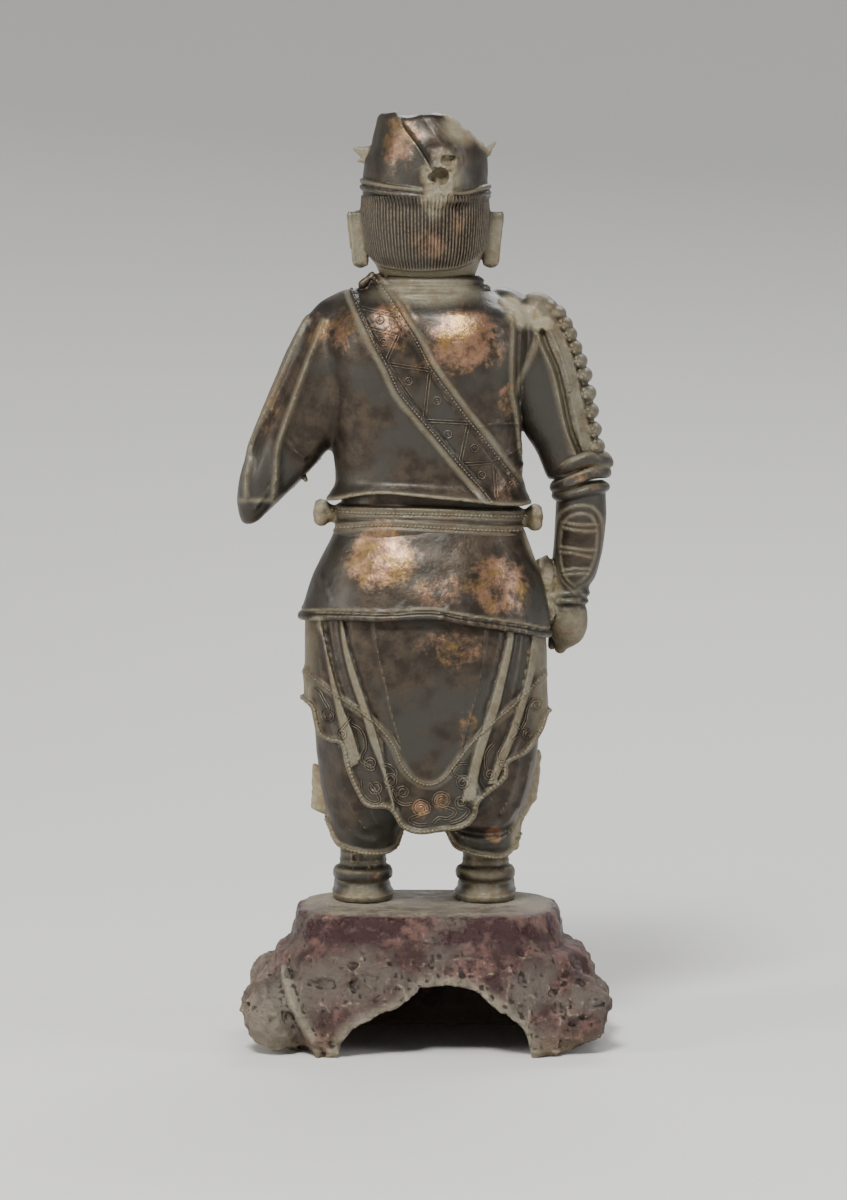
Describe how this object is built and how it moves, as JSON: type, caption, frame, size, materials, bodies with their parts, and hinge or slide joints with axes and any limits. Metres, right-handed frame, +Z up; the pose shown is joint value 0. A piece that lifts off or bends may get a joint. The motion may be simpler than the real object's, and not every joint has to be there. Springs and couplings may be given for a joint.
{
  "type": "standing dignitary figure",
  "caption": "Cast bronze dignitary in cap, belted robe and scalloped arm armour, with one wide sleeve raised, standing on a hollow stepped rockwork plinth with an arched opening behind.",
  "frame": {"origin": "middle of the plinth's underside, on the surface it stands on", "axes": "+Z up along the standing figure; it faces -Y; +X towards its own left hand"},
  "size_m": [0.1367, 0.0899, 0.338],
  "materials": {
    "figure_bronze": "dark brown patina, worn to warm metal on the high places",
    "plinth_bronze": "rough casting with remains of reddish brown lacquer and grey dust"
  },
  "bodies": {
    "root": {"figure": "figure_bronze", "plinth": "plinth_bronze"}
  },
  "joints": []
}
